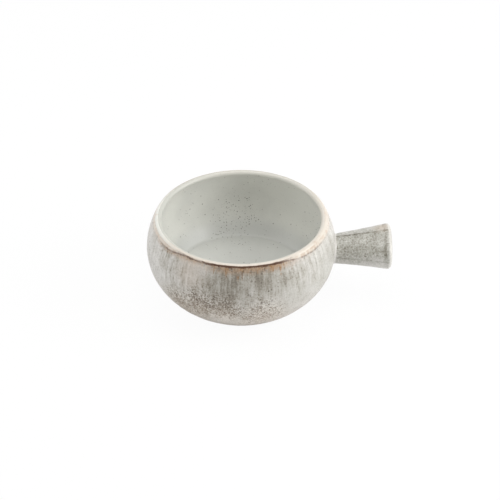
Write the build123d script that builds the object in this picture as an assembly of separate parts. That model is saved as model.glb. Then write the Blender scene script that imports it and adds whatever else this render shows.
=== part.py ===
from build123d import *
import math
import os

# Lug soup bowl: a round-bellied stoneware bowl with a flared stub handle, joined with slip and glazed.
# Millimetres, +Z up. The origin is on the bowl's axis, on the plane of the foot ring, and +X points along the lug.
# The sizes are those of the finished, glazed piece, and the clay lies inside them by the glaze's thickness.

# Bowl
bowl_height = 65.0
belly_radius = 67.5
belly_height = 39.3
rim_radius = 60.25
rim_width = 5.15
lip_flat = 0.25
wall_thickness = 5.2
floor_height = 13.0
floor_radius = 49.5
floor_rounding = 4.0

# Foot ring
foot_height = 2.0
foot_radius = 43.0
foot_width = 4.8
foot_rounding = 0.8
belly_foot_radius = 45.3
recess_height = 3.0
recess_rounding = 1.2

# Lug: it leaves the belly at lug_height and rises by lug_tilt degrees, and its end leans out at the top
lug_height = 36.45
lug_tilt = 3.3
lug_length = 39.1
lug_root_width = 23.9
lug_root_thickness = 20.2
lug_middle_width = 31.9
lug_middle_thickness = 24.0
lug_end_width = 42.3
lug_end_thickness = 28.4
lug_end_lean = 5.0
lug_end_rounding = 3.0
lug_wall = 4.5
lug_root_depth = 12.0
vent_diameter = 3.0
vent_place = 14.0

# Slip joint and glaze
slip_thickness = 0.8
bead_radius = 2.0
glaze_thickness = 0.5
lip_band_drop = 1.0
collar_margin = 1.0

# The bowl's clay is modelled this far inside its coats and the slip, so that no two solids share its face
bond_gap = 0.01


def half_height(reach, radius, at_radius):
    """Upright half axis of the ellipse of half width radius that narrows to at_radius at that reach."""
    return reach / math.sqrt(1.0 - (at_radius / radius) ** 2)


# Upright half axes of the four quarter ellipses of the section
belly_below = half_height(belly_height - foot_height, belly_radius, belly_foot_radius)
belly_above = half_height(bowl_height - belly_height, belly_radius, rim_radius)
inner_radius = belly_radius - wall_thickness
inner_below = half_height(belly_height - floor_height, inner_radius, floor_radius)
inner_above = half_height(bowl_height - belly_height, inner_radius, rim_radius - rim_width)


def angle_at(upright, height):
    """Angle, in radians, at which an ellipse of the belly passes a height."""
    return math.asin((height - belly_height) / upright)


def rim_lean(radius, upright):
    """Lean of a wall from upright at the rim, in radians."""
    return math.atan(radius / upright * math.tan(angle_at(upright, bowl_height)))


# The lip is round but for a narrow flat on its crest
lip_rounding = (rim_width - lip_flat) / (
    math.tan(math.pi / 4 - rim_lean(belly_radius, belly_above) / 2)
    + math.tan(math.pi / 4 + rim_lean(inner_radius, inner_above) / 2)
)


def belly_arc(radius, upright, start, end):
    """An arc of an ellipse of the belly between two angles, as an exact rational curve."""
    middle = (start + end) / 2
    weight = math.cos((end - start) / 2)
    points = [
        (radius * math.cos(angle) / share, belly_height + upright * math.sin(angle) / share)
        for angle, share in ((start, 1), (middle, weight), (end, 1))
    ]
    return Bezier(*points, weights=[1, weight, 1])


def belly_curve(radius, below, above, low, high):
    """The two tangent elliptic arcs of a wall, from the height low to the height high."""
    lower = belly_arc(radius, below, angle_at(below, low), 0)
    upper = belly_arc(radius, above, 0, angle_at(above, high))
    return lower, upper


def rounded(section, corner, radius):
    """The section with the corner nearest a point rounded."""
    vertex = section.vertices().sort_by_distance(Vector(corner))[0]
    return fillet(vertex, radius)


def bowl_section(inset):
    """Half section of the bowl, with its glazed faces moved into the wall by inset."""
    rim = bowl_height - inset
    floor = floor_height - inset
    outer = belly_curve(belly_radius - inset, belly_below - inset, belly_above - inset, foot_height, rim)
    inner = belly_curve(inner_radius + inset, inner_below + inset, inner_above + inset, floor, rim)
    foot_inside = foot_radius - foot_width
    foot = Polyline(
        (0, floor),
        (0, recess_height),
        (foot_inside, recess_height),
        (foot_inside, 0),
        (foot_radius, 0),
        (foot_radius, foot_height),
        outer[0] @ 0,
    )
    lip = Line(outer[1] @ 1, inner[1] @ 1)
    section = make_face([foot, *outer, lip, *inner, Line(inner[0] @ 0, (0, floor))])
    section = rounded(section, outer[1] @ 1, lip_rounding - inset)
    section = rounded(section, inner[1] @ 1, lip_rounding - inset)
    section = rounded(section, inner[0] @ 0, floor_rounding + inset)
    section = rounded(section, (foot_inside, recess_height), recess_rounding)
    section = rounded(section, (foot_inside, 0), foot_rounding)
    return rounded(section, (foot_radius, 0), foot_rounding)


def turned(section):
    """A half section turned about the bowl's axis, from the side away from the lug."""
    away = Plane((0, 0, 0), x_dir=(-1, 0, 0), z_dir=(0, 1, 0))
    return revolve(away * section, Axis.Z)


def bowl_blank(inset):
    """The bowl's outside as a filled solid, which trims what stands on the wall."""
    rim = bowl_height - inset
    outer = belly_curve(belly_radius - inset, belly_below - inset, belly_above - inset, foot_height, rim)
    inside = Polyline(outer[1] @ 1, (0, rim), (0, foot_height), outer[0] @ 0)
    return turned(make_face([*outer, inside]))


def rising(degrees):
    """A direction along the lug that rises by an angle."""
    return Vector(math.cos(math.radians(degrees)), 0, math.sin(math.radians(degrees)))


def lug_station(along, width, thickness, inset, lean=0):
    """One oval of the lug at a distance along it from the belly, square to its axis but for its lean."""
    place = Vector(belly_radius, 0, lug_height) + rising(lug_tilt) * along
    station = Plane(place, x_dir=(0, 1, 0), z_dir=rising(lug_tilt - lean))
    return station * Ellipse(width / 2 - inset, thickness / 2 - inset)


def lug_blank(inset, rounding):
    """The flared oval lug, run into the belly, with its outer edge rounded."""
    stations = [
        lug_station(-lug_root_depth, lug_root_width, lug_root_thickness, inset),
        lug_station(0, lug_root_width, lug_root_thickness, inset),
        lug_station(lug_length / 2, lug_middle_width, lug_middle_thickness, inset),
        lug_station(lug_length - inset, lug_end_width, lug_end_thickness, inset, lug_end_lean),
    ]
    blank = loft(stations)
    end_face = blank.faces().filter_by(GeomType.PLANE).sort_by(Axis.X)[-1]
    return fillet(end_face.edges(), rounding)


def joined(blank, lug, bead):
    """Bowl blank and lug as one solid, with a bead in the corner where they meet."""
    both = blank + lug
    return fillet(new_edges(blank, lug, combined=both), bead)


# Sections of the finished bowl, of its clay and of the glaze between them
finished_section = bowl_section(0)
clay_section = bowl_section(glaze_thickness + bond_gap)
glaze_section = finished_section - bowl_section(glaze_thickness)

# The cream band runs from the crest of the rim to the break line outside it
crest_radius = finished_section.edges().sort_by(Axis.Y)[-1].center().X
band_zone = Pos(crest_radius, bowl_height - lip_band_drop) * Rectangle(
    belly_radius, 2 * lip_band_drop, align=(Align.MIN, Align.MIN)
)
coats = (glaze_section - band_zone).faces().sort_by(Axis.X)

# Lug and bowl blanks, in clay and glazed, and the zone round the lug where its own coat begins
clay_bowl = bowl_blank(glaze_thickness)
clay_lug = lug_blank(glaze_thickness, lug_end_rounding - glaze_thickness)
clay_form = joined(clay_bowl, clay_lug, bead_radius)
glazed_form = joined(bowl_blank(0), lug_blank(0, lug_end_rounding), bead_radius - glaze_thickness)
collar = lug_blank(-bead_radius - collar_margin, lug_end_rounding)

# Hollow of the lug, which ends a wall's thickness short of the outer end, and its vent below
hollow_rounding = min(lug_end_rounding, lug_wall / 2)
hollow = lug_blank(glaze_thickness + lug_wall, hollow_rounding)
vent = Pos(belly_radius + vent_place, 0, lug_height) * Cylinder(
    vent_diameter / 2, lug_end_thickness, align=(Align.CENTER, Align.CENTER, Align.MAX)
)

bowl_body = turned(clay_section)
lug_seat = bowl_blank(glaze_thickness - slip_thickness)
lug_handle = clay_form - lug_seat - hollow - vent
slip_joint = (clay_form & lug_seat) - clay_bowl - hollow
liner_glaze = turned(coats[0])
lip_glaze = turned(glaze_section & band_zone)
outer_glaze = turned(coats[-1]) - collar
lug_glaze = (glazed_form & collar) - clay_form - vent

os.makedirs("parts", exist_ok=True)
export_step(bowl_body, "parts/bowl_body.step")
export_step(lug_handle, "parts/lug_handle.step")
export_step(slip_joint, "parts/slip_joint.step")
export_step(liner_glaze, "parts/liner_glaze.step")
export_step(lip_glaze, "parts/lip_glaze.step")
export_step(outer_glaze, "parts/outer_glaze.step")
export_step(lug_glaze, "parts/lug_glaze.step")
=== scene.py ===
"""Lug soup bowl: the glaze coats, the bare foot and the studio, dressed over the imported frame.

Lengths are in metres, in the frame's own axes: +Z up the bowl's axis, +X out along the lug. The finishes
work in millimetres.
"""

from math import asin, atan2, cos, exp, pi, radians, sin, sqrt, tan

import bmesh
import bpy
from bpy.props import FloatProperty, FloatVectorProperty, IntProperty, PointerProperty
from bpy.types import NodeSocket, Operator, Panel, PropertyGroup
from mathutils import Color, Matrix, Vector, noise


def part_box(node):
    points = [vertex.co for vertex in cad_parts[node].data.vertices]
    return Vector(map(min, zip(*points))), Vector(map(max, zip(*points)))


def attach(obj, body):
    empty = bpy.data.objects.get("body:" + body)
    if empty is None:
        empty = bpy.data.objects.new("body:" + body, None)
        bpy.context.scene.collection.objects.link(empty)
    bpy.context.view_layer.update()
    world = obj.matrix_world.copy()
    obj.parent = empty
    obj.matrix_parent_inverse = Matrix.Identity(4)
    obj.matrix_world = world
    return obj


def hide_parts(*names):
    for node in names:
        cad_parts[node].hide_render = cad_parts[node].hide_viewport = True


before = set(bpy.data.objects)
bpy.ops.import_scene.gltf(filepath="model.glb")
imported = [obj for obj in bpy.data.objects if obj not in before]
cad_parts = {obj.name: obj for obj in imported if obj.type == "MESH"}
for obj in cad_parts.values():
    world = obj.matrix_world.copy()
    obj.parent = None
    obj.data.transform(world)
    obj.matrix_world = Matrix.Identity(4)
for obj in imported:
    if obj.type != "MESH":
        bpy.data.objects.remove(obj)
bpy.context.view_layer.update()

bl_info = {
    "name": "Lug soup bowl",
    "version": (1, 0, 0),
    "blender": (4, 5, 0),
    "location": "3D View > Sidebar > Lug bowl",
    "description": "Glazed stoneware bowl with a lug",
    "category": "Object",
}

MM = 0.001
BODY = "root"
QUARTER = pi / 2

# Thickness of the glaze, in millimetres
GLAZE = 0.5

# The bowl's shells are spun over one sector, which is then copied round, and points this close are merged
SECTORS = 16
MERGE_DISTANCE = 0.001 * MM

# Steps of the search for the place where a rounding touches the wall
HALVINGS = 60

# Decay, scale and octaves of the noise that makes the glaze uneven
FRACTAL = (0.9, 2, 3)

# Turning marks in the foot's recess, and their distance from the foot ring
RING_HEIGHT = 0.06 * MM
RING_PITCH = 2.2 * MM
RING_MARGIN = 2 * MM

# Upright runs in the outer glaze, which fade out towards the foot and the break line
RUN_HEIGHT = 0.1 * MM
RUN_WIDTH = 3.5 * MM
RUN_LENGTH = 30 * MM
FOOT_FADE = 3 * MM
BAND_FADE = 1.5 * MM

# Roll of the outer glaze just above the line where it stops
ROLL_HEIGHT = 0.2 * MM
ROLL_PLACE = 0.7 * MM
ROLL_WIDTH = MM

# Unevenness of the lug's glaze, which fades in from the lug's start past the bead
SWELL_HEIGHT = 0.08 * MM
SWELL_SIZE = 2.5 * MM
LUG_START = 3 * MM
LUG_FADE = 4 * MM

# The lug's coat runs on past its bead, into the belly's coat
SKIRT_WIDTH = 0.8 * MM
SKIRT_DEPTH = 0.2 * MM

# Shares of the lug's rows at which the bead, the lug's side and its rounded edge end
BEAD_END = 0.1
SIDE_END = 0.75
EDGE_END = 0.9

# Share of the lug's reach over which it gets no slimmer than its root
ROOT_SHARE = 0.25

# The vent's edge is looked for within this many of its radii
VENT_SEARCH = 3

# The lug's coat is a little thinner than the glaze, so that it clears the clay
LUG_COAT_SHARE = 0.9

# Softboxes: name, setting of the power, place and size
SOFTBOXES = (
    ("Right softbox", "right_lamp", (1.15, -0.2, 0.7), 0.9),
    ("Left softbox", "left_lamp", (-1.2, 0.1, 0.7), 0.9),
    ("Top softbox", "top_lamp", (0, 0.15, 1.4), 1),
)
LAMP_TARGET = Vector((0, 0, 0.04))
FLOOR_RADIUS = 4
PAPER = (0.86, 0.86, 0.86, 1)
PAPER_ROUGHNESS = 0.9
WHITE = (1, 1, 1, 1)

# Marks in the glazes: the middle of each one and its reach, in millimetres, and its strength where it isn't 1
# The liner's spots paint shade on its lower left and lower right walls, and light on the upper back wall to
# the right
LINER_PAINTED_LIGHT_AND_SHADE = (((26, 50, 55), 48, -0.6), ((-36, 32, 24), 42, 0.35), ((42, 24, 24), 32, 0.4))
SPECK_CROWDS = (((-4, 55, 25), 34, 0.4), ((-50, 15, 30), 24, 0.25), ((48, 22, 30), 28, 0.35))
LINE_FRONT = ((4, -58, 64), 56)
LINE_SIDES = ((0, -50, 64), 84)
LIP_STAIN = ((46, -37, 64), 22)
LINE_STAIN = ((47, -38, 63), 22)
FRONT_SMUDGE = (((-6, -64, 55), 34), ((15, -62, 55), 28))
LEFT_SMUDGE = ((-45, -46, 56), 20, 0.5)
LEFT_PATCH = (((-28, -59, 30), 25), ((-13, -64, 30), 23), ((-40, -48, 25), 24))
LOW_PATCH = ((14, -62, 25), 25, 0.95)
WHITE_PATCH = (((-12, -61, 20), 13), ((20, -64, 38), 13, 0.5))
BELLY_SHADES = (
    ((42, -52, 45), 24, -0.06),
    ((42, -50, 54), 13, -0.06),
    ((-25, -58, 59), 12, 0.12),
    ((-24, -61, 52), 9, -0.14),
    ((1, -66, 36), 12, 0.12),
)
MOSSY_SIDE = (((60, -28, 38), 44, 0.45), ((38, -52, 38), 36, 0.35))
BELLY_FLUSH = ((-34, -54, 54), 20, 0.3)
RUST_FRONT = ((9, -60, 62), 44)
RUST_LEFT = ((-42, -43, 63), 36)
UMBER_DOTS = ((16, -64, 51), 26)
LUG_LIGHT = ((100, -14, 36), 16, 0.1)
LUG_FLUSH = ((101, 6, 50), 11, 0.45)

# Lowest and highest corners of the nodes that the sizes below are read from
outer_low, outer_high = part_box("outer_glaze")
liner_low, liner_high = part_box("liner_glaze")
lip_low, lip_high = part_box("lip_glaze")


def plain(name, default, description, **options):
    """A number that a user may change."""
    return FloatProperty(name=name, default=default, description=description, **options)


def length(name, default, description):
    """A length that a user may change, given in millimetres."""
    return plain(name, default * MM, description, unit="LENGTH", precision=5)


def degrees(name, default, description):
    """An angle that a user may change, given in degrees."""
    return plain(name, radians(default), description, subtype="ANGLE")


def divisions(name, default, least, description):
    """A number of steps in a mesh that a user may change."""
    return IntProperty(name=name, description=description, default=default, min=least)


def colour(name, red, green, blue, description):
    """A colour in screen levels from 0 to 255, kept as the linear values that shaders take."""
    linear = Color((red / 255, green / 255, blue / 255)).from_srgb_to_scene_linear()
    return FloatVectorProperty(
        name=name, description=description, default=tuple(linear), size=3, subtype="COLOR", min=0, max=1
    )


class BowlSizes(PropertyGroup):
    """Sizes of the finished bowl, of its foot and of its glaze."""

    height: length("Height", lip_high.z / MM, "Height of the rim's crest")
    belly_radius: length("Belly radius", outer_high.y / MM, "Widest radius of the glazed belly")
    belly_height: length("Belly height", 39.3, "Height of the belly's widest ring")
    rim_radius: length("Rim radius", 60.25, "Outer radius at the unrounded rim")
    rim_width: length("Rim width", 5.15, "Width of the wall at the rim")
    lip_rounding: length("Lip rounding", 2.1, "Radius of the rounded lip")
    wall: length("Wall", (outer_high.y - liner_high.y) / MM + GLAZE, "Thickness of the wall at the belly")
    floor_height: length("Floor height", liner_low.z / MM + GLAZE, "Height of the inside floor")
    floor_radius: length("Floor radius", 49.5, "Radius where the wall would meet the floor")
    floor_rounding: length("Floor rounding", 4, "Radius of the floor's corner")
    foot_height: length("Foot height", outer_low.z / MM, "Height of the bare foot ring")
    foot_radius: length("Foot radius", 43, "Outer radius of the foot ring")
    foot_width: length("Foot width", 4.8, "Width of the foot ring")
    foot_rounding: length("Foot rounding", 0.8, "Radius of the foot ring's edges")
    belly_foot_radius: length("Belly at the foot", 45.3, "Radius of the belly where the glaze stops")
    recess_height: length("Recess height", 3, "Height of the turned recess")
    recess_rounding: length("Recess rounding", 1.2, "Radius of the recess's corner")
    glaze: length("Glaze", GLAZE, "Thickness of the glaze coats")
    bond_gap: length("Bond gap", 0.01, "Gap between the clay and its coats")
    band_height: length("Band height", lip_low.z / MM, "Height of the break line")
    turns: divisions("Turns", 448, 64, "Steps round the bowl")


class LugSizes(PropertyGroup):
    """Sizes of the flared lug."""

    height: length("Height", 36.45, "Height of the lug's axis at the belly")
    tilt: degrees("Tilt", 3.3, "Rise of the lug's axis")
    reach: length("Reach", 39.1, "Length from the belly to its end")
    root_width: length("Root width", 23.9, "Width at the belly")
    root_thickness: length("Root thickness", 20.2, "Thickness at the belly")
    middle_width: length("Middle width", 31.9, "Width half way along")
    middle_thickness: length("Middle thickness", 24, "Thickness half way along")
    end_width: length("End width", 42.3, "Width at the end")
    end_thickness: length("End thickness", 28.4, "Thickness at the end")
    end_lean: degrees("End lean", 5, "Lean of the end at its top")
    end_rounding: length("End rounding", 3, "Radius of the end's edge")
    bead: length("Bead", 1.5, "Radius of the bead where lug and belly meet")
    seam_height: length("Seam height", 0.25, "Height of the soft seams")
    seam_width: length("Seam width", 0.8, "Half width of the seams")
    vent_place: length("Vent place", 14, "Distance of the vent from the belly")
    vent_radius: length("Vent radius", 1.5, "Radius of the vent")
    segments: divisions("Segments", 224, 32, "Steps round the lug")
    rows: divisions("Rows", 100, 20, "Steps along the lug")


class GlazeColours(PropertyGroup):
    """Colours of the clay and the glazes."""

    clay: colour("Clay", 176, 150, 124, "Bare fired stoneware")
    clay_dark: colour("Dark clay", 140, 112, 88, "Darker grains and burns in the clay")
    liner: colour("Liner", 223, 223, 216, "Satin glaze inside the bowl")
    # The dark liner also carries the painted shade that the liner's spots lay on its walls
    liner_dark: colour("Dark liner", 207, 207, 201, "Thicker pools of liner glaze")
    # Painted shade round the floor's corner, deepest at the back
    liner_corner_shade: colour("Pooled liner", 190, 191, 187, "Thick liner glaze round the floor")
    speck: colour("Speck", 78, 66, 52, "Iron specks in the glaze")
    cream: colour("Cream", 210, 202, 190, "Thin glaze over the rim")
    # On the left of the liner's rim the crest grey is painted shade
    crest: colour("Crest", 180, 180, 171, "Greyer glaze on the rim's crest")
    blush: colour("Blush", 197, 177, 157, "Pinkish tan where the glaze thins")
    pale: colour("Pale", 218, 216, 210, "Whitish flecks and streaks")
    lavender: colour("Lavender", 198, 195, 190, "Cool streaks between the white ones")
    ground: colour("Ground", 177, 173, 164, "Warm grey ground of the belly")
    smoke: colour("Smoke", 135, 128, 116, "Darker grey-olive streaks")
    umber: colour("Umber", 76, 63, 52, "Dark mottling of the belly")
    rust: colour("Rust", 148, 104, 49, "Rust runs below the rim")
    break_line: colour("Break line", 72, 40, 16, "Dark line where the glaze breaks")
    moss: colour("Moss", 170, 169, 160, "Grey-green ground on the lug")
    sage: colour("Sage", 134, 130, 119, "Darker grey-green on the lug and in front")
    olive: colour("Olive", 90, 87, 74, "Dark speckles on the lug")


class StudioSettings(PropertyGroup):
    """Camera and light."""

    distance: length("Distance", 1100, "From the camera to the belly's middle")
    elevation: degrees("Elevation", 35.4, "Camera above the horizon")
    lens: plain("Lens", 110.6, "Focal length in millimetres", unit="CAMERA")
    shift_x: plain("Shift X", 0.0174, "Sideways shift of the frame")
    shift_y: plain("Shift Y", -0.0097, "Upward shift of the frame")
    room: plain("Room light", 0.48, "Strength of the white room")
    right_lamp: plain("Right lamp", 13.6, "Power of the right softbox", unit="POWER")
    left_lamp: plain("Left lamp", 5, "Power of the left softbox", unit="POWER")
    top_lamp: plain("Top lamp", 7.5, "Power of the softbox above", unit="POWER")
    floor_glow: plain("Floor glow", 0.95, "Share of white in the floor as seen")


def verts_of(made):
    """The vertices among what a mesh operation made."""
    return [item for item in made if isinstance(item, bmesh.types.BMVert)]


class Profile:
    """A half section of the bowl, drawn from point to point and then spun about the bowl's axis."""

    def __init__(self, radius, height):
        self.mesh = bmesh.new()
        self.end = self.mesh.verts.new((radius, 0, height))
        self.start = self.end

    def line(self, radius, height, steps=1):
        """Draws a straight stretch to a point."""
        first, last = self.end.co.copy(), Vector((radius, 0, height))
        for step in range(1, steps + 1):
            self.end = bmesh.ops.extrude_vert_indiv(self.mesh, verts=[self.end])["verts"][0]
            self.end.co = first.lerp(last, step / steps)

    def arc(self, centre, sweep, steps, squash=1):
        """Draws an arc about a point of the section, as an ellipse where squash isn't 1."""
        pivot = Vector((centre[0], 0, centre[1]))
        about = Matrix.Translation(-pivot)
        first = self.end
        count = len(self.mesh.verts)
        bmesh.ops.scale(self.mesh, vec=(1, 1, 1 / squash), verts=[first], space=about)
        made = bmesh.ops.spin(self.mesh, geom=[first], cent=pivot, axis=(0, -1, 0), angle=sweep, steps=steps)
        self.end = verts_of(made["geom_last"])[0]
        self.mesh.verts.ensure_lookup_table()
        drawn = [first, *self.mesh.verts[count:]]
        bmesh.ops.scale(self.mesh, vec=(1, 1, squash), verts=drawn, space=about)

    def spun(self, turns):
        """Closes the section where it is off the axis, spins it and returns the closed shell."""
        mesh = self.mesh
        if self.end.co.x > 0:
            mesh.edges.new((self.end, self.start))
        sector = 2 * pi / SECTORS
        section = [*mesh.verts, *mesh.edges]
        bmesh.ops.spin(mesh, geom=section, axis=(0, 0, 1), angle=sector, steps=turns // SECTORS)
        first = [*mesh.verts, *mesh.edges, *mesh.faces]
        for step in range(1, SECTORS):
            copy = bmesh.ops.duplicate(mesh, geom=first)["geom"]
            turn = Matrix.Rotation(sector * step, 3, "Z")
            bmesh.ops.rotate(mesh, verts=verts_of(copy), matrix=turn)
        bmesh.ops.remove_doubles(mesh, verts=mesh.verts, dist=MERGE_DISTANCE)
        bmesh.ops.recalc_face_normals(mesh, faces=mesh.faces)
        return mesh


class Wall:
    """One face of the wall, moved out by offset: two quarter ellipses that meet at the belly's height."""

    def __init__(self, bowl, radius, foot, foot_radius, rim_radius, offset):
        self.level = bowl.belly_height
        self.radius = radius + offset
        self.below = half_height(self.level - foot, radius, foot_radius) + offset
        self.above = half_height(bowl.height - self.level, radius, rim_radius) + offset

    def angle(self, height):
        """Angle on the ellipse at a height."""
        rise = height - self.level
        return asin(rise / (self.above if rise > 0 else self.below))

    def point(self, angle, offset=0):
        """Radius, height and direction of the normal at an angle, moved along the normal by offset."""
        upright = self.above if angle > 0 else self.below
        across, along = cos(angle) / self.radius, sin(angle) / upright
        lean = atan2(along, across)
        radius = self.radius * cos(angle) + offset * cos(lean)
        return radius, self.level + upright * sin(angle) + offset * sin(lean), lean

    def touching(self, offset, height):
        """Angle at which a circle whose centre lies at that offset and height touches the wall."""
        low, high = -QUARTER, QUARTER
        for _ in range(HALVINGS):
            middle = (low + high) / 2
            if self.point(middle, offset)[1] < height:
                low = middle
            else:
                high = middle
        return low

    def draw(self, profile, start, end, steps):
        """Draws the wall from one angle to another, upwards or downwards."""
        stops = (start, 0, end) if start * end < 0 else (start, end)
        for first, last in zip(stops, stops[1:]):
            upright = self.above if first + last > 0 else self.below
            count = max(2, round(steps * abs(last - first) / abs(end - start)))
            profile.arc((0, self.level), last - first, count, upright / self.radius)


def half_height(reach, radius, at_radius):
    """Upright half axis of the ellipse of half width radius that narrows to at_radius at that reach."""
    return reach / sqrt(1 - (at_radius / radius) ** 2)


class OuterFace:
    """The outer wall and the outer half of the lip, moved into the clay by inset."""

    def __init__(self, bowl, inset):
        self.wall = Wall(
            bowl, bowl.belly_radius, bowl.foot_height, bowl.belly_foot_radius, bowl.rim_radius, -inset
        )
        self.rounding = bowl.lip_rounding - inset
        lip_level = bowl.height - bowl.lip_rounding
        self.foot = self.wall.angle(bowl.foot_height)
        self.top = self.wall.touching(-self.rounding, lip_level)
        *self.centre, self.low = self.wall.point(self.top, -self.rounding)
        self.band = max(self.low, asin((bowl.band_height - lip_level) / self.rounding))

    def lip_point(self, turn):
        """Radius and height at a turn of the lip's arc."""
        radius, level = self.centre
        return radius + self.rounding * cos(turn), level + self.rounding * sin(turn)


class InnerFace:
    """The inner half of the lip, the inner wall and the floor, moved into the clay by inset."""

    def __init__(self, bowl, inset):
        radius, rim_radius = bowl.belly_radius - bowl.wall, bowl.rim_radius - bowl.rim_width
        self.wall = Wall(bowl, radius, bowl.floor_height, bowl.floor_radius, rim_radius, inset)
        self.crest = bowl.height - inset
        self.floor = bowl.floor_height - inset
        rounding = bowl.lip_rounding - inset
        corner = bowl.floor_rounding + inset
        self.top = self.wall.touching(rounding, self.crest - rounding)
        self.foot = self.wall.touching(-corner, self.floor + corner)
        *self.centre, lean = self.wall.point(self.top, rounding)
        self.lip_sweep = QUARTER + lean
        *self.corner_centre, lean = self.wall.point(self.foot, -corner)
        self.corner_sweep = QUARTER + lean

    def draw_down(self, profile, lip, wall, corner, floor):
        """Draws from the crest to the middle of the floor, with the steps of each stretch."""
        profile.line(self.centre[0], self.crest)
        profile.arc(self.centre, self.lip_sweep, lip)
        self.wall.draw(profile, self.top, self.foot, wall)
        profile.arc(self.corner_centre, -self.corner_sweep, corner)
        profile.line(0, self.floor, floor)


def crest_radius(bowl):
    """Radius of the middle of the lip's narrow flat."""
    return (OuterFace(bowl, 0).centre[0] + InnerFace(bowl, 0).centre[0]) / 2


def placed(mesh, name, material):
    """Turns a bmesh into an object of the scene."""
    data = bpy.data.meshes.new(name)
    mesh.to_mesh(data)
    mesh.free()
    data.materials.append(material)
    piece = bpy.data.objects.new(name, data)
    bpy.context.scene.collection.objects.link(piece)
    return piece


def finish_piece(mesh, name, material, node):
    """Places a smooth piece that rides on the part's body and stands for its node."""
    piece = placed(mesh, name, material)
    piece.data.shade_smooth()
    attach(piece, BODY)
    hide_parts(node)
    return piece


class Value:
    """A number that the nodes of a finish work out, which plain sums and smooth steps carry on."""

    def __init__(self, finish, socket):
        self.finish = finish
        self.socket = socket

    def __add__(self, other):
        return self.finish.number("ADD", self, other)

    def __sub__(self, other):
        return self.finish.number("SUBTRACT", self, other)

    def __rsub__(self, other):
        return self.finish.number("SUBTRACT", other, self)

    def __mul__(self, other):
        return self.finish.number("MULTIPLY", self, other)

    def __abs__(self):
        return self.finish.number("ABSOLUTE", self, 0)

    def between(self, low, high, low_result, high_result):
        """A smooth step from one result to the other as the number goes from low to high."""
        node = self.finish.node("MapRange", self, low, high, low_result, high_result)
        node.interpolation_type = "SMOOTHSTEP"
        return Value(self.finish, node.outputs[0])

    def rise(self, low, high, strength=1):
        """A smooth step from 0 up to a strength."""
        return self.between(low, high, 0, strength)

    def fade(self, low, high, strength=1):
        """A smooth step from a strength down to 0."""
        return self.between(low, high, strength, 0)

    def varied(self, gain):
        """Noise as a change about zero, times a gain."""
        return (self - 0.5) * gain


class Finish:
    """A material whose nodes read Object coordinates, in millimetres, and tint a base colour step by step."""

    def __init__(self, name, base=None):
        self.material = bpy.data.materials.new(name)
        self.material.use_nodes = True
        self.tree = self.material.node_tree
        self.surface = self.tree.nodes["Principled BSDF"]
        self.colours = bpy.context.scene.lugbowl_colours
        self.base = base
        coordinates = self.node("TexCoord")
        self.place = self.vector("MULTIPLY", coordinates.outputs["Object"], [1 / MM] * 3)
        self.axes = [Value(self, socket) for socket in self.node("SeparateXYZ", self.place).outputs]

    def shade(self, name):
        """A colour of the settings, as sockets and ramps take it."""
        return (*getattr(self.colours, name), 1)

    def give(self, socket, value):
        """Links a socket to what nodes work out, or sets it to a value or a named colour."""
        source = value.socket if isinstance(value, Value) else value
        if isinstance(source, NodeSocket):
            self.tree.links.new(source, socket)
        else:
            socket.default_value = self.shade(source) if socket.type == "RGBA" else source

    def node(self, kind, *values, **named):
        """A new node, with its first sockets and its named ones linked or set."""
        node = self.tree.nodes.new("ShaderNode" + kind)
        for socket, value in zip(node.inputs, values):
            self.give(socket, value)
        for name, value in named.items():
            self.give(node.inputs[name], value)
        return node

    def number(self, operation, first, second):
        """A Math node."""
        node = self.node("Math", first, second)
        node.operation = operation
        return Value(self, node.outputs[0])

    def largest(self, first, *others):
        """The largest of several numbers."""
        for other in others:
            first = self.number("MAXIMUM", first, other)
        return first

    def vector(self, operation, first, second=(0, 0, 0)):
        """A Vector Math node."""
        node = self.node("VectorMath", first, second)
        node.operation = operation
        if operation in {"DISTANCE", "LENGTH"}:
            return Value(self, node.outputs["Value"])
        return node.outputs["Vector"]

    def joined(self, x, y, z):
        """A vector from three numbers."""
        return self.node("CombineXYZ", x, y, z).outputs[0]

    def spot(self, centre, reach, strength=1):
        """A strength at a point of the piece that fades to 0 at its reach."""
        return self.vector("DISTANCE", self.place, centre).fade(0, reach, strength)

    def spots(self, marks):
        """A spot for each of several marks."""
        return [self.spot(*mark) for mark in marks]

    def noise(self, size, detail, roughness, place=None):
        """Noise whose features are about that size across."""
        place = self.place if place is None else place
        node = self.node("TexNoise", place, Scale=1 / size, Detail=detail, Roughness=roughness)
        return Value(self, node.outputs["Fac"])

    def specks(self, spacing, radius, amount):
        """Round specks of up to a radius on a share of the cells of a loose grid."""
        node = self.node("TexVoronoi", self.place, Scale=1 / spacing)
        split = self.node("SeparateColor", node.outputs["Color"])
        size = Value(self, split.outputs[0]) * (radius / spacing)
        chosen = self.number("LESS_THAN", split.outputs[1], amount)
        return self.number("LESS_THAN", node.outputs["Distance"], size) * chosen

    def blend(self, amount, first, second):
        """The first colour, changed to the second by an amount from 0 to 1."""
        node = self.node("Mix", amount)
        node.data_type = "RGBA"
        self.give(node.inputs[6], first)
        self.give(node.inputs[7], second)
        return node.outputs[2]

    def tint(self, amount, shade):
        """Changes the base colour to a shade by an amount from 0 to 1."""
        self.base = self.blend(amount, self.base, shade)

    def ramp(self, value, places, names):
        """Takes the base colour from a value, through named colours at places from 0 to 1."""
        node = self.node("ValToRGB", value)
        elements = node.color_ramp.elements
        elements[0].position = places[0]
        elements[1].position = places[-1]
        for place in places[1:-1]:
            elements.new(place)
        for element, name in zip(elements, names):
            element.color = self.shade(name)
        self.base = node.outputs[0]

    def relief(self, height, depth):
        """Bump of a depth on the shader's normal."""
        node = self.node("Bump", Strength=1, Distance=depth * MM, Height=height)
        self.give(self.surface.inputs["Normal"], node.outputs[0])

    def done(self, roughness):
        """Sets the shader's colour and roughness and returns the material."""
        self.give(self.surface.inputs["Base Color"], self.base)
        self.give(self.surface.inputs["Roughness"], roughness)
        return self.material


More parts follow.
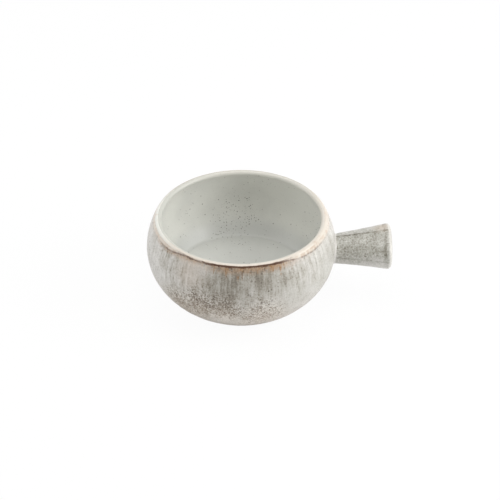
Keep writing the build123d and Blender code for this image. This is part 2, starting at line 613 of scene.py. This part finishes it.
def stoneware(name):
    """Bare fired clay: fine grog, a few iron burns and a slightly mottled ground."""
    clay = Finish(name, "clay")
    grog = clay.noise(0.7, 2, 0.6)
    clay.tint(clay.noise(14, 4, 0.6).rise(0.35, 0.7), "clay_dark")
    clay.tint(grog.rise(0.56, 0.72, 0.5), "clay_dark")
    clay.tint(clay.specks(2.6, 0.9, 0.35), "speck")
    clay.relief(grog, 0.12)
    return clay.done(grog.between(0.3, 0.7, 0.75, 0.9))


def liner_finish(bowl):
    """Satin grey glaze with fine brown specks in loose crowds, painted light and shade on its walls and
    corner.
    """
    coat = Finish("liner_glaze", "liner")
    x, y, z = coat.axes
    cloud = coat.noise(26, 3, 0.55)
    # Random clouds of darker glaze, together with the painted light and shade of the liner's spots
    coat.tint(sum(coat.spots(LINER_PAINTED_LIGHT_AND_SHADE), cloud.between(0.35, 0.7, 0.2, 0.8)), "liner_dark")
    radius = coat.vector("LENGTH", coat.joined(x, y, 0))
    floor_edge = bowl.floor_radius / MM
    # Painted shade on the lower wall round the floor's corner, stronger towards the back
    corner = radius.between(floor_edge - 3, floor_edge - 1, 0.6, y.between(25, 46, 0.95, 0.7))
    above_floor = z - bowl.floor_height / MM
    coat.tint(corner * above_floor.fade(3, 14), "liner_corner_shade")

    crowd = sum(coat.spots(SPECK_CROWDS), cloud * 0.6)
    coat.tint(coat.specks(1, 0.38, crowd.between(0.35, 0.75, 0.04, 0.5)) * 0.95, "speck")
    dust = coat.noise(0.9, 2, 0.7).rise(0.58, 0.8)
    coat.tint(dust * crowd.between(0.3, 0.7, 0.2, 0.45), "speck")

    below_rim = bowl.height / MM - z
    # Painted shade: on the left the rim's inner rounding takes the grey crest colour instead of cream
    crest = coat.blend(x.rise(-58, -10), "crest", "cream")
    crest = coat.blend(y.rise(10, 45, 0.6), crest, "crest")
    coat.tint(below_rim.fade(0.3, y.between(10, 45, 2.6, 4.4), 0.75), crest)
    coat.relief(coat.noise(5, 2, 0.5), 0.05)
    return coat.done(cloud.between(0.3, 0.7, 0.3, 0.38))


def line_strength(coat, arc):
    """How strongly the break line shows round the rim: dark in front, thin and broken to both sides."""
    front = coat.spot(*LINE_FRONT).rise(0.25, 0.65)
    broken = coat.noise(5, 3, 0.7, arc).between(0.4, 0.6, 0.4, 0.9)
    sides = coat.spot(*LINE_SIDES).rise(0.05, 0.3) * broken
    behind = coat.axes[1].rise(-5, 25) * coat.noise(34, 2, 0.5, arc).between(0.42, 0.6, 0.15, 0.85)
    return coat.largest(behind, front, sides)


def lip_finish(bowl):
    """Thin cream glaze, browned towards the break line at its lower edge."""
    coat = Finish("lip_glaze", "liner")
    x, y, z = coat.axes
    cloud = coat.noise(6, 4, 0.6)
    coat.tint(x.rise(-60, -42), "cream")
    coat.tint(y.rise(10, 45, 0.6), "crest")
    coat.tint(cloud.rise(0.5, 0.75, 0.5), "blush")
    coat.tint(cloud.rise(0.42, 0.62, 0.45) * coat.spot(*LIP_STAIN), "clay")
    ragged = z - bowl.band_height / MM + cloud.varied(0.8)
    strength = line_strength(coat, coat.place) * x.fade(24, 42) * x.rise(-46, -36)
    coat.tint(ragged.fade(0.5, 1, 0.6) * strength, "blush")
    coat.tint(ragged.fade(0.4, 0.8) * strength, "break_line")
    coat.relief(cloud, 0.03)
    return coat.done(cloud.between(0.3, 0.7, 0.28, 0.36))


def belly_finish(bowl):
    """Reactive glaze: fine streaks below the rim, rust runs, smoky smudges and dark mottling in patches."""
    coat = Finish("outer_glaze")
    x, y, z = coat.axes
    around = coat.vector("NORMALIZE", coat.joined(x, y, 0))
    arc = coat.vector("MULTIPLY", around, [bowl.belly_radius / MM] * 3)
    streaks = coat.vector("ADD", arc, coat.joined(0, 0, z * 0.14))
    below = bowl.band_height / MM - z
    high = below.fade(14, 34)
    wide = coat.noise(5, 4, 0.65, streaks)
    narrow = coat.noise(1.5, 4, 0.7, streaks)
    grain = coat.noise(1.1, 3, 0.75)
    clump = coat.noise(2.8, 4, 0.7)
    blotch = coat.noise(8, 5, 0.65)
    cloud = coat.noise(32, 2, 0.5)

    # Where the smudges and the patches lie
    far_side = cloud.rise(0.42, 0.7) * y.rise(-20, 25)
    front_smudge = coat.largest(*coat.spots(FRONT_SMUDGE))
    smudge = coat.largest(front_smudge, coat.spot(*LEFT_SMUDGE), far_side)
    left_patch = coat.largest(*coat.spots(LEFT_PATCH))
    low_patch = coat.spot(*LOW_PATCH)
    near_patch = coat.largest(left_patch, low_patch)
    patch = coat.largest(near_patch, far_side * 0.6)
    white_patch = coat.largest(*coat.spots(WHITE_PATCH))

    # Streaks, mottling and shades
    tone = (
        wide.varied(smudge.between(0, 0.8, 0.4, 0.65)) * high
        + narrow.varied(high.between(0, 1, 0.15, abs(x).between(20, 45, 0.6, 0.85)))
        + blotch.varied(0.5)
        + grain.varied(patch.between(0, 0.8, 0.5, 2.7) + low_patch * 1.2)
        + clump.varied(patch.rise(0, 0.8, 1.3))
        + white_patch * 0.25
        - left_patch * 0.3
        - low_patch * 0.16
        - smudge * 0.27
        # Lighter towards the foot: painted light from the white floor
        + z.fade(6, 34, 0.08)
        + 0.66
    )
    shades = ("umber", "smoke", "ground", "lavender", "pale")
    coat.ramp(sum(coat.spots(BELLY_SHADES), tone), (0.16, 0.36, 0.52, 0.68, 0.88), shades)

    # Tints over the streaks
    coat.tint(below.fade(0, 6, 0.65) * narrow.rise(0.4, 0.6), "blush")
    coat.tint(coat.largest(*coat.spots(MOSSY_SIDE)), "moss")
    coat.tint(coat.largest(coat.spot(*BELLY_FLUSH), near_patch * 0.22), "blush")
    coat.tint(front_smudge * 0.35, "sage")
    # Blush towards the foot, partly the glaze's colour and partly painted light from the white floor
    coat.tint(z.fade(4, 38, 0.32) * x.between(20, 55, 1, 0.3), "blush")

    # Rust that runs down from the break line, which sinks to the right and to the left
    right_drop = x.rise(22, 52, 2.6)
    left_drop = x.fade(-53, -37, 2.4)
    runs = coat.noise(2.3, 3, 0.6, streaks)
    drips = runs.between(0.46, 0.64, 0.5, 7.5) + narrow.rise(0.45, 0.65, 2.5) + clump.varied(9)
    near_band = coat.largest((below - drips).fade(-3, 1, 0.9), below.fade(0.8, 6.5, 0.72))
    rust_patch = coat.largest(coat.spot(*RUST_FRONT).rise(0.05, 0.4), far_side * 0.8)
    near_rust = near_band * rust_patch * wide.between(0.38, 0.56, 0.55, 1)
    left_rust = (below - left_drop).fade(0.6, 3.2, 0.9) * coat.spot(*RUST_LEFT).rise(0.1, 0.5, 0.55)
    rusted = coat.blend(clump.rise(0.48, 0.6, 0.75), "rust", "umber")
    coat.tint(coat.largest(left_rust, near_rust) * grain.between(0.3, 0.7, 1, 0.6), rusted)
    dotted = coat.spot(*UMBER_DOTS).rise(0.15, 0.6, 0.5)
    coat.tint(coat.specks(2.4, 1.1, 0.5) * dotted, "umber")

    # The break line, and the band's stained cream above it where it has sunk
    sunk = coat.largest(right_drop, left_drop)
    from_line = below + wide.varied(-2) - sunk
    stained = coat.blend(clump.rise(0.45, 0.62, 0.75), "cream", "blush")
    stain = clump.between(0.42, 0.58, 0.1, 0.6) * coat.spot(*LINE_STAIN)
    stained = coat.blend(stain, stained, "clay")
    coat.tint(from_line.fade(-0.5, 0.3, 0.85) * sunk.rise(0.2, 1), stained)
    off_line = abs(coat.largest(from_line, sunk * -1))
    edge = off_line.fade(0.2, 0.8) * line_strength(coat, arc) * x.between(-58, -50, 0.3, 1)
    edge *= right_drop.between(0.2, 1.8, 1, clump.between(0.4, 0.6, 0.4, 0.8))
    edge *= narrow.between(0.35, 0.55, 0.55, 1)
    coat.tint(edge, "break_line")
    coat.relief(grain + narrow, 0.06)
    return coat.done(grain.between(0.35, 0.65, 0.26, 0.4))


def lug_finish(bowl, lug):
    """Reactive glaze on the lug: mottled grey-green, dark lines on its seams and a pale edge at its end."""
    coat = Finish("lug_glaze")
    x, y, z = coat.axes
    grain = coat.noise(1.4, 4, 0.75)
    fine = coat.noise(0.8, 2, 0.6)
    blotch = coat.noise(6, 4, 0.65)
    past_root = x - bowl.belly_radius / MM
    to_end = lug.reach / MM - past_root
    over_axis = z - (past_root * tan(lug.tilt) + lug.height / MM)
    upper = over_axis.rise(-1, 1)
    on_side = to_end.rise(1.2, 3)
    broken = coat.noise(4.5, 3, 0.6).between(0.38, 0.58, 0.3, 1)
    wander = blotch.varied(1.5)
    top_line = abs(y + wander).fade(0.3, 1.2, 0.24) * upper * on_side * broken
    side_line = abs(over_axis + wander).fade(0.3, 1.1, 0.1) * on_side
    end_line = abs(to_end + blotch.varied(3) - 4.6).fade(0.3, 1.4, 0.17) * upper * broken
    tone = (
        grain.varied(upper.between(0, 1, 0.5, 0.75))
        + fine.varied(0.5)
        + blotch.varied(0.4)
        # Painted shade above the lug's axis and painted light below it, which flatten the lamps' shading
        + over_axis.between(-6, 8, 0.12, -0.045)
        + y.rise(0, 3, 0.09)
        + coat.spot(*LUG_LIGHT)
        - top_line
        - side_line
        - end_line
        - to_end.fade(0.6, 1.6, 0.16)
        + 0.5
    )
    shades = ("olive", "sage", "moss", "lavender", "pale")
    coat.ramp(tone, (0.16, 0.36, 0.5, 0.66, 0.88), shades)
    coat.tint(coat.spot(*LUG_FLUSH), "blush")
    half_oval = (1, lug.end_width / 2 / MM, lug.end_thickness / 2 / MM)
    from_axis = coat.vector("DIVIDE", coat.joined(0, y, over_axis), half_oval)
    rim = coat.vector("LENGTH", from_axis).rise(0.8, 0.93)
    coat.tint(to_end.fade(1.1, 3.1, 0.7) * rim, "pale")
    coat.tint(past_root.fade(-0.6, 0.6), "lavender")
    coat.relief(grain, 0.06)
    return coat.done(grain.between(0.35, 0.65, 0.26, 0.4))


def recess_rings(mesh, bowl):
    """Shallow turning marks on the underside of the foot."""
    inner = bowl.foot_radius - bowl.foot_width - RING_MARGIN
    for vert in mesh.verts:
        radius = vert.co.xy.length
        if radius < inner and vert.co.z < bowl.recess_height + MM:
            vert.co.z += RING_HEIGHT * sin(radius * 2 * pi / RING_PITCH)


class LUGBOWL_OT_clay_bowl(Operator):
    """Turns the stoneware bowl, whose bare foot ring shows below the glaze"""

    bl_idname = "lugbowl.clay_bowl"
    bl_label = "Stoneware bowl"

    def execute(self, context):
        bowl = context.scene.lugbowl_bowl
        inset = bowl.glaze + bowl.bond_gap
        outer, inner = OuterFace(bowl, inset), InnerFace(bowl, inset)
        ring = bowl.foot_radius - bowl.foot_width
        edge, corner = bowl.foot_rounding, bowl.recess_rounding
        profile = Profile(0, bowl.recess_height)
        profile.line(ring - corner, bowl.recess_height, steps=91)
        profile.arc((ring - corner, bowl.recess_height - corner), -QUARTER, steps=6)
        profile.line(ring, edge)
        profile.arc((ring + edge, edge), QUARTER, steps=6)
        profile.line(bowl.foot_radius - edge, 0)
        profile.arc((bowl.foot_radius - edge, edge), QUARTER, steps=6)
        profile.line(bowl.foot_radius, bowl.foot_height)
        profile.line(*outer.wall.point(outer.foot)[:2])
        outer.wall.draw(profile, outer.foot, outer.top, steps=24)
        profile.arc(outer.centre, QUARTER - outer.low, steps=6)
        inner.draw_down(profile, lip=6, wall=20, corner=6, floor=1)
        mesh = profile.spun(bowl.turns // 2)
        recess_rings(mesh, bowl)
        material = stoneware("stoneware")
        finish_piece(mesh, "clay_bowl", material, "bowl_body")
        return {"FINISHED"}


class LUGBOWL_OT_liner_coat(Operator):
    """Lays the satin glaze inside the bowl, from its floor to the crest of the lip"""

    bl_idname = "lugbowl.liner_coat"
    bl_label = "Liner glaze"

    def execute(self, context):
        bowl = context.scene.lugbowl_bowl
        crest = crest_radius(bowl)
        face, back = InnerFace(bowl, 0), InnerFace(bowl, bowl.glaze)
        profile = Profile(crest, back.crest)
        back.draw_down(profile, lip=6, wall=16, corner=6, floor=7)
        profile.end = profile.start
        profile.line(crest, face.crest)
        face.draw_down(profile, lip=16, wall=60, corner=20, floor=25)
        material = liner_finish(bowl)
        finish_piece(profile.spun(bowl.turns), "liner_coat", material, "liner_glaze")
        return {"FINISHED"}


class LUGBOWL_OT_lip_coat(Operator):
    """Lays the thin cream band from the crest of the lip to the break line outside it"""

    bl_idname = "lugbowl.lip_coat"
    bl_label = "Lip glaze"

    def execute(self, context):
        bowl = context.scene.lugbowl_bowl
        crest = crest_radius(bowl)
        face, back = OuterFace(bowl, 0), OuterFace(bowl, bowl.glaze)
        profile = Profile(*face.lip_point(face.band))
        profile.arc(face.centre, QUARTER - face.band, steps=16)
        profile.line(crest, bowl.height)
        profile.line(crest, bowl.height - bowl.glaze)
        profile.line(*back.lip_point(QUARTER))
        profile.arc(back.centre, back.band - QUARTER, steps=6)
        material = lip_finish(bowl)
        finish_piece(profile.spun(bowl.turns), "lip_coat", material, "lip_glaze")
        return {"FINISHED"}


def glaze_runs(mesh, bowl):
    """Thickens and thins the outer glaze in upright runs, and rolls it up a little where it stops."""
    for vert in mesh.verts:
        flat = Vector((vert.co.x, vert.co.y, 0)).normalized()
        above_foot, below_band = vert.co.z - bowl.foot_height, bowl.band_height - vert.co.z
        fade = max(0, min(1, above_foot / FOOT_FADE, below_band / BAND_FADE))
        way = flat * (bowl.belly_radius / RUN_WIDTH) + Vector((0, 0, vert.co.z / RUN_LENGTH))
        swell = RUN_HEIGHT * fade * noise.fractal(way, *FRACTAL)
        roll = ROLL_HEIGHT * exp(-(((above_foot - ROLL_PLACE) / ROLL_WIDTH) ** 2))
        vert.co += flat * (swell + roll)


class LUGBOWL_OT_belly_coat(Operator):
    """Lays the reactive glaze on the outside, from the foot to the break line below the lip"""

    bl_idname = "lugbowl.belly_coat"
    bl_label = "Outer glaze"

    def execute(self, context):
        bowl = context.scene.lugbowl_bowl
        face, back = OuterFace(bowl, 0), OuterFace(bowl, bowl.glaze)
        profile = Profile(*face.wall.point(face.foot)[:2])
        face.wall.draw(profile, face.foot, face.top, steps=96)
        profile.arc(face.centre, face.band - face.low, steps=2)
        profile.line(*back.lip_point(back.band))
        profile.arc(back.centre, back.low - back.band, steps=2)
        back.wall.draw(profile, back.top, back.foot, steps=14)
        mesh = profile.spun(bowl.turns)
        glaze_runs(mesh, bowl)
        material = belly_finish(bowl)
        finish_piece(mesh, "belly_coat", material, "outer_glaze")
        return {"FINISHED"}


class LugShape:
    """Places the points of the lug's skin, round its oval by an angle and along its axis from the belly."""

    def __init__(self, bowl, lug):
        self.lug = lug
        self.wall = OuterFace(bowl, 0).wall
        self.out = Vector((cos(lug.tilt), 0, sin(lug.tilt)))
        self.up = Vector((-sin(lug.tilt), 0, cos(lug.tilt)))
        self.root = Vector((bowl.belly_radius, 0, lug.height))

    def half_size(self, along, root, middle, end):
        """Half a width or thickness at a distance along the lug, on the curve through its three sizes."""
        way = along / self.lug.reach
        curve = root * (1 - way) * (1 - 2 * way) + middle * 4 * way * (1 - way) + end * way * (2 * way - 1)
        return max(curve, root) / 2 if way < ROOT_SHARE else curve / 2

    def point(self, along, angle, shrink=0):
        """A point of the lug's surface, moved towards its axis by shrink."""
        lug = self.lug
        wide = self.half_size(along, lug.root_width, lug.middle_width, lug.end_width) - shrink
        thick = self.half_size(along, lug.root_thickness, lug.middle_thickness, lug.end_thickness) - shrink
        way = along / lug.reach
        lean = lug.end_lean * max(0, way * (2 * way - 1))
        up = self.up * cos(lean) + self.out * sin(lean)
        across = Vector((0, wide * cos(angle), 0))
        return self.root + self.out * along + across + up * (thick * sin(angle))

    def on_belly(self, angle, spread, height):
        """A point beside the lug's root at that height over the belly."""
        point = self.point(0, angle, -spread)
        radius = self.wall.point(self.wall.angle(point.z))[0] + height
        return Vector((sqrt(radius**2 - point.y**2), point.y, point.z))

    def swell(self, along, angle):
        """Height of the glaze's unevenness and of the soft seams on the top and on the two sides."""
        lug = self.lug
        place = self.point(along, angle)
        height = SWELL_HEIGHT * noise.fractal(place / SWELL_SIZE, *FRACTAL)
        for seam in (0, QUARTER, pi, 2 * pi):
            away = (place - self.point(along, seam)).length / lug.seam_width
            height += lug.seam_height * exp(-(away**2))
        return height

    def skin(self, way, angle):
        """A point of the skin: way goes from 0 on the belly, over the bead, the lug and its end, to 1."""
        lug = self.lug
        straight = lug.reach - lug.end_rounding
        if way == 0:
            return self.on_belly(angle, lug.bead + SKIRT_WIDTH, -SKIRT_DEPTH)
        if way <= BEAD_END:
            turn = QUARTER * way / BEAD_END
            return self.on_belly(angle, lug.bead * (1 - sin(turn)), lug.bead * (1 - cos(turn)))
        if way <= SIDE_END:
            past_start = (straight - LUG_START) * (way - BEAD_END) / (SIDE_END - BEAD_END)
            along = LUG_START + past_start
            fade = min(1, past_start / LUG_FADE)
            return self.point(along, angle, -fade * self.swell(along, angle))
        turn = QUARTER * min(1, (way - SIDE_END) / (EDGE_END - SIDE_END))
        along = straight + lug.end_rounding * sin(turn)
        shrink = lug.end_rounding * (1 - cos(turn))
        edge = self.point(along, angle, shrink - cos(turn) * self.swell(straight, angle))
        if way <= EDGE_END:
            return edge
        middle = self.root + self.out * lug.reach
        return edge.lerp(middle, (way - EDGE_END) / (1 - EDGE_END))


def cut_vent(mesh, bowl, lug):
    """Opens the vent below the lug and turns its edge up towards the clay."""
    axis = Vector((bowl.belly_radius + lug.vent_place, 0))

    def near(place, reach):
        return place.z < lug.height and (place.xy - axis).length < reach

    inside = [face for face in mesh.faces if near(face.calc_center_median(), lug.vent_radius)]
    bmesh.ops.delete(mesh, geom=inside, context="FACES")
    edge_reach = VENT_SEARCH * lug.vent_radius
    rim = [edge for edge in mesh.edges if edge.is_boundary and near(edge.verts[0].co, edge_reach)]
    for vert in {vert for edge in rim for vert in edge.verts}:
        vert.co.xy = axis + (vert.co.xy - axis).normalized() * lug.vent_radius
    made = bmesh.ops.extrude_edge_only(mesh, edges=rim)["geom"]
    bmesh.ops.translate(mesh, verts=verts_of(made), vec=(0, 0, 2 * bowl.glaze))


class LUGBOWL_OT_lug_coat(Operator):
    """Lays the glaze on the flared lug, from the bead at the belly to its rounded end"""

    bl_idname = "lugbowl.lug_coat"
    bl_label = "Lug glaze"

    def execute(self, context):
        bowl, lug = context.scene.lugbowl_bowl, context.scene.lugbowl_lug
        shape = LugShape(bowl, lug)
        mesh = bmesh.new()
        bmesh.ops.create_grid(mesh, x_segments=lug.segments, y_segments=lug.rows, size=1)
        for vert in mesh.verts:
            row = round((vert.co.y + 1) / 2 * lug.rows)
            vert.co = shape.skin(row / lug.rows, pi * (vert.co.x + 1))
        bmesh.ops.remove_doubles(mesh, verts=mesh.verts, dist=MERGE_DISTANCE)
        cut_vent(mesh, bowl, lug)
        bmesh.ops.recalc_face_normals(mesh, faces=mesh.faces)
        material = lug_finish(bowl, lug)
        piece = finish_piece(mesh, "lug_coat", material, "lug_glaze")
        skin = piece.modifiers.new("Glaze thickness", "SOLIDIFY")
        skin.thickness = bowl.glaze * LUG_COAT_SHARE
        skin.offset = -1
        return {"FINISHED"}


class LUGBOWL_OT_hidden_clay(Operator):
    """Gives the lug's clay and its slip joint, which lie under the glaze, their bare finish"""

    bl_idname = "lugbowl.hidden_clay"
    bl_label = "Clay under the lug's glaze"

    def execute(self, context):
        for node, name in (("lug_handle", "lug_stoneware"), ("slip_joint", "fired_slip")):
            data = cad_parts[node].data
            data.materials.clear()
            data.materials.append(stoneware(name))
        return {"FINISHED"}


def turned_to(direction):
    """Rotation of a camera or a lamp that faces a direction."""
    return direction.to_track_quat("-Z", "Y").to_euler()


def white_for_camera(tree, output, operation, plain, white):
    """Mixes a shader to a white one on camera rays; returns the rays' node and the share's other socket."""
    path = tree.nodes.new("ShaderNodeLightPath")
    share = tree.nodes.new("ShaderNodeMath")
    share.operation = operation
    tree.links.new(path.outputs["Is Camera Ray"], share.inputs[0])
    mixed = tree.nodes.new("ShaderNodeMixShader")
    for socket, node in zip(mixed.inputs, (share, plain, white)):
        tree.links.new(node.outputs[0], socket)
    tree.links.new(mixed.outputs[0], tree.nodes[output].inputs["Surface"])
    return path, share.inputs[1]


class LUGBOWL_OT_studio(Operator):
    """Sets up the white floor, the soft light and the camera"""

    bl_idname = "lugbowl.studio"
    bl_label = "Studio"

    def execute(self, context):
        scene = context.scene
        studio = scene.lugbowl_studio
        scene.view_settings.view_transform = "Standard"
        self.room(scene, studio)
        self.floor(studio)
        for name, setting, place, size in SOFTBOXES:
            lamp = bpy.data.lights.new(name, "AREA")
            lamp.size = size
            lamp.energy = getattr(studio, setting)
            light = bpy.data.objects.new(name, lamp)
            light.location = place
            light.rotation_euler = turned_to(LAMP_TARGET - light.location)
            scene.collection.objects.link(light)
        lens = bpy.data.cameras.new("Camera")
        lens.lens = studio.lens
        lens.shift_x = studio.shift_x
        lens.shift_y = studio.shift_y
        camera = bpy.data.objects.new("Camera", lens)
        aim = Vector((0, 0, scene.lugbowl_bowl.belly_height))
        back = Vector((0, -cos(studio.elevation), sin(studio.elevation)))
        camera.location = aim + back * studio.distance
        camera.rotation_euler = turned_to(-back)
        scene.collection.objects.link(camera)
        scene.camera = camera
        return {"FINISHED"}

    def room(self, scene, studio):
        """White all round as the camera and reflections see it, and softer as light."""
        scene.world = bpy.data.worlds.new("White room")
        scene.world.use_nodes = True
        tree = scene.world.node_tree
        light = tree.nodes["Background"]
        white = tree.nodes.new("ShaderNodeBackground")
        for background in (light, white):
            background.inputs["Color"].default_value = WHITE
        light.inputs["Strength"].default_value = studio.room
        path, other = white_for_camera(tree, "World Output", "MAXIMUM", light, white)
        tree.links.new(path.outputs["Is Glossy Ray"], other)

    def floor(self, studio):
        """A pale floor that keeps a soft shadow and runs into the white room."""
        mesh = bmesh.new()
        bmesh.ops.create_circle(mesh, cap_ends=True, radius=FLOOR_RADIUS, segments=64)
        material = bpy.data.materials.new("floor")
        material.use_nodes = True
        tree = material.node_tree
        paper = tree.nodes["Principled BSDF"]
        paper.inputs["Base Color"].default_value = PAPER
        paper.inputs["Roughness"].default_value = PAPER_ROUGHNESS
        glow = tree.nodes.new("ShaderNodeEmission")
        _, other = white_for_camera(tree, "Material Output", "MULTIPLY", paper, glow)
        other.default_value = studio.floor_glow
        floor = placed(mesh, "floor", material)


class LUGBOWL_PT_panel(Panel):
    """Lists the steps that make the bowl and its studio."""

    bl_idname = "LUGBOWL_PT_panel"
    bl_label = "Lug soup bowl"
    bl_space_type = "VIEW_3D"
    bl_region_type = "UI"
    bl_category = "Lug bowl"

    def draw(self, context):
        for operator in OPERATORS:
            self.layout.operator(operator.bl_idname)
        for name in SETTINGS:
            group = getattr(context.scene, name)
            box = self.layout.box()
            for setting in group.bl_rna.properties:
                if not setting.is_readonly and setting.identifier != "name":
                    box.prop(group, setting.identifier)


OPERATORS = (
    LUGBOWL_OT_clay_bowl,
    LUGBOWL_OT_liner_coat,
    LUGBOWL_OT_lip_coat,
    LUGBOWL_OT_belly_coat,
    LUGBOWL_OT_lug_coat,
    LUGBOWL_OT_hidden_clay,
    LUGBOWL_OT_studio,
)

SETTINGS = {
    "lugbowl_bowl": BowlSizes,
    "lugbowl_lug": LugSizes,
    "lugbowl_colours": GlazeColours,
    "lugbowl_studio": StudioSettings,
}

CLASSES = (*SETTINGS.values(), *OPERATORS, LUGBOWL_PT_panel)


def register():
    """Registers the settings, the operators and the panel."""
    for made in CLASSES:
        bpy.utils.register_class(made)
    for name, group in SETTINGS.items():
        setattr(bpy.types.Scene, name, PointerProperty(type=group))


def unregister():
    """Removes what register added."""
    for name in SETTINGS:
        delattr(bpy.types.Scene, name)
    for made in reversed(CLASSES):
        bpy.utils.unregister_class(made)


def main():
    """Makes the pieces in order."""
    register()
    bpy.ops.lugbowl.clay_bowl()
    bpy.ops.lugbowl.liner_coat()
    bpy.ops.lugbowl.lip_coat()
    bpy.ops.lugbowl.belly_coat()
    bpy.ops.lugbowl.lug_coat()
    bpy.ops.lugbowl.hidden_clay()
    bpy.ops.lugbowl.studio()


if __name__ == "__main__":
    main()
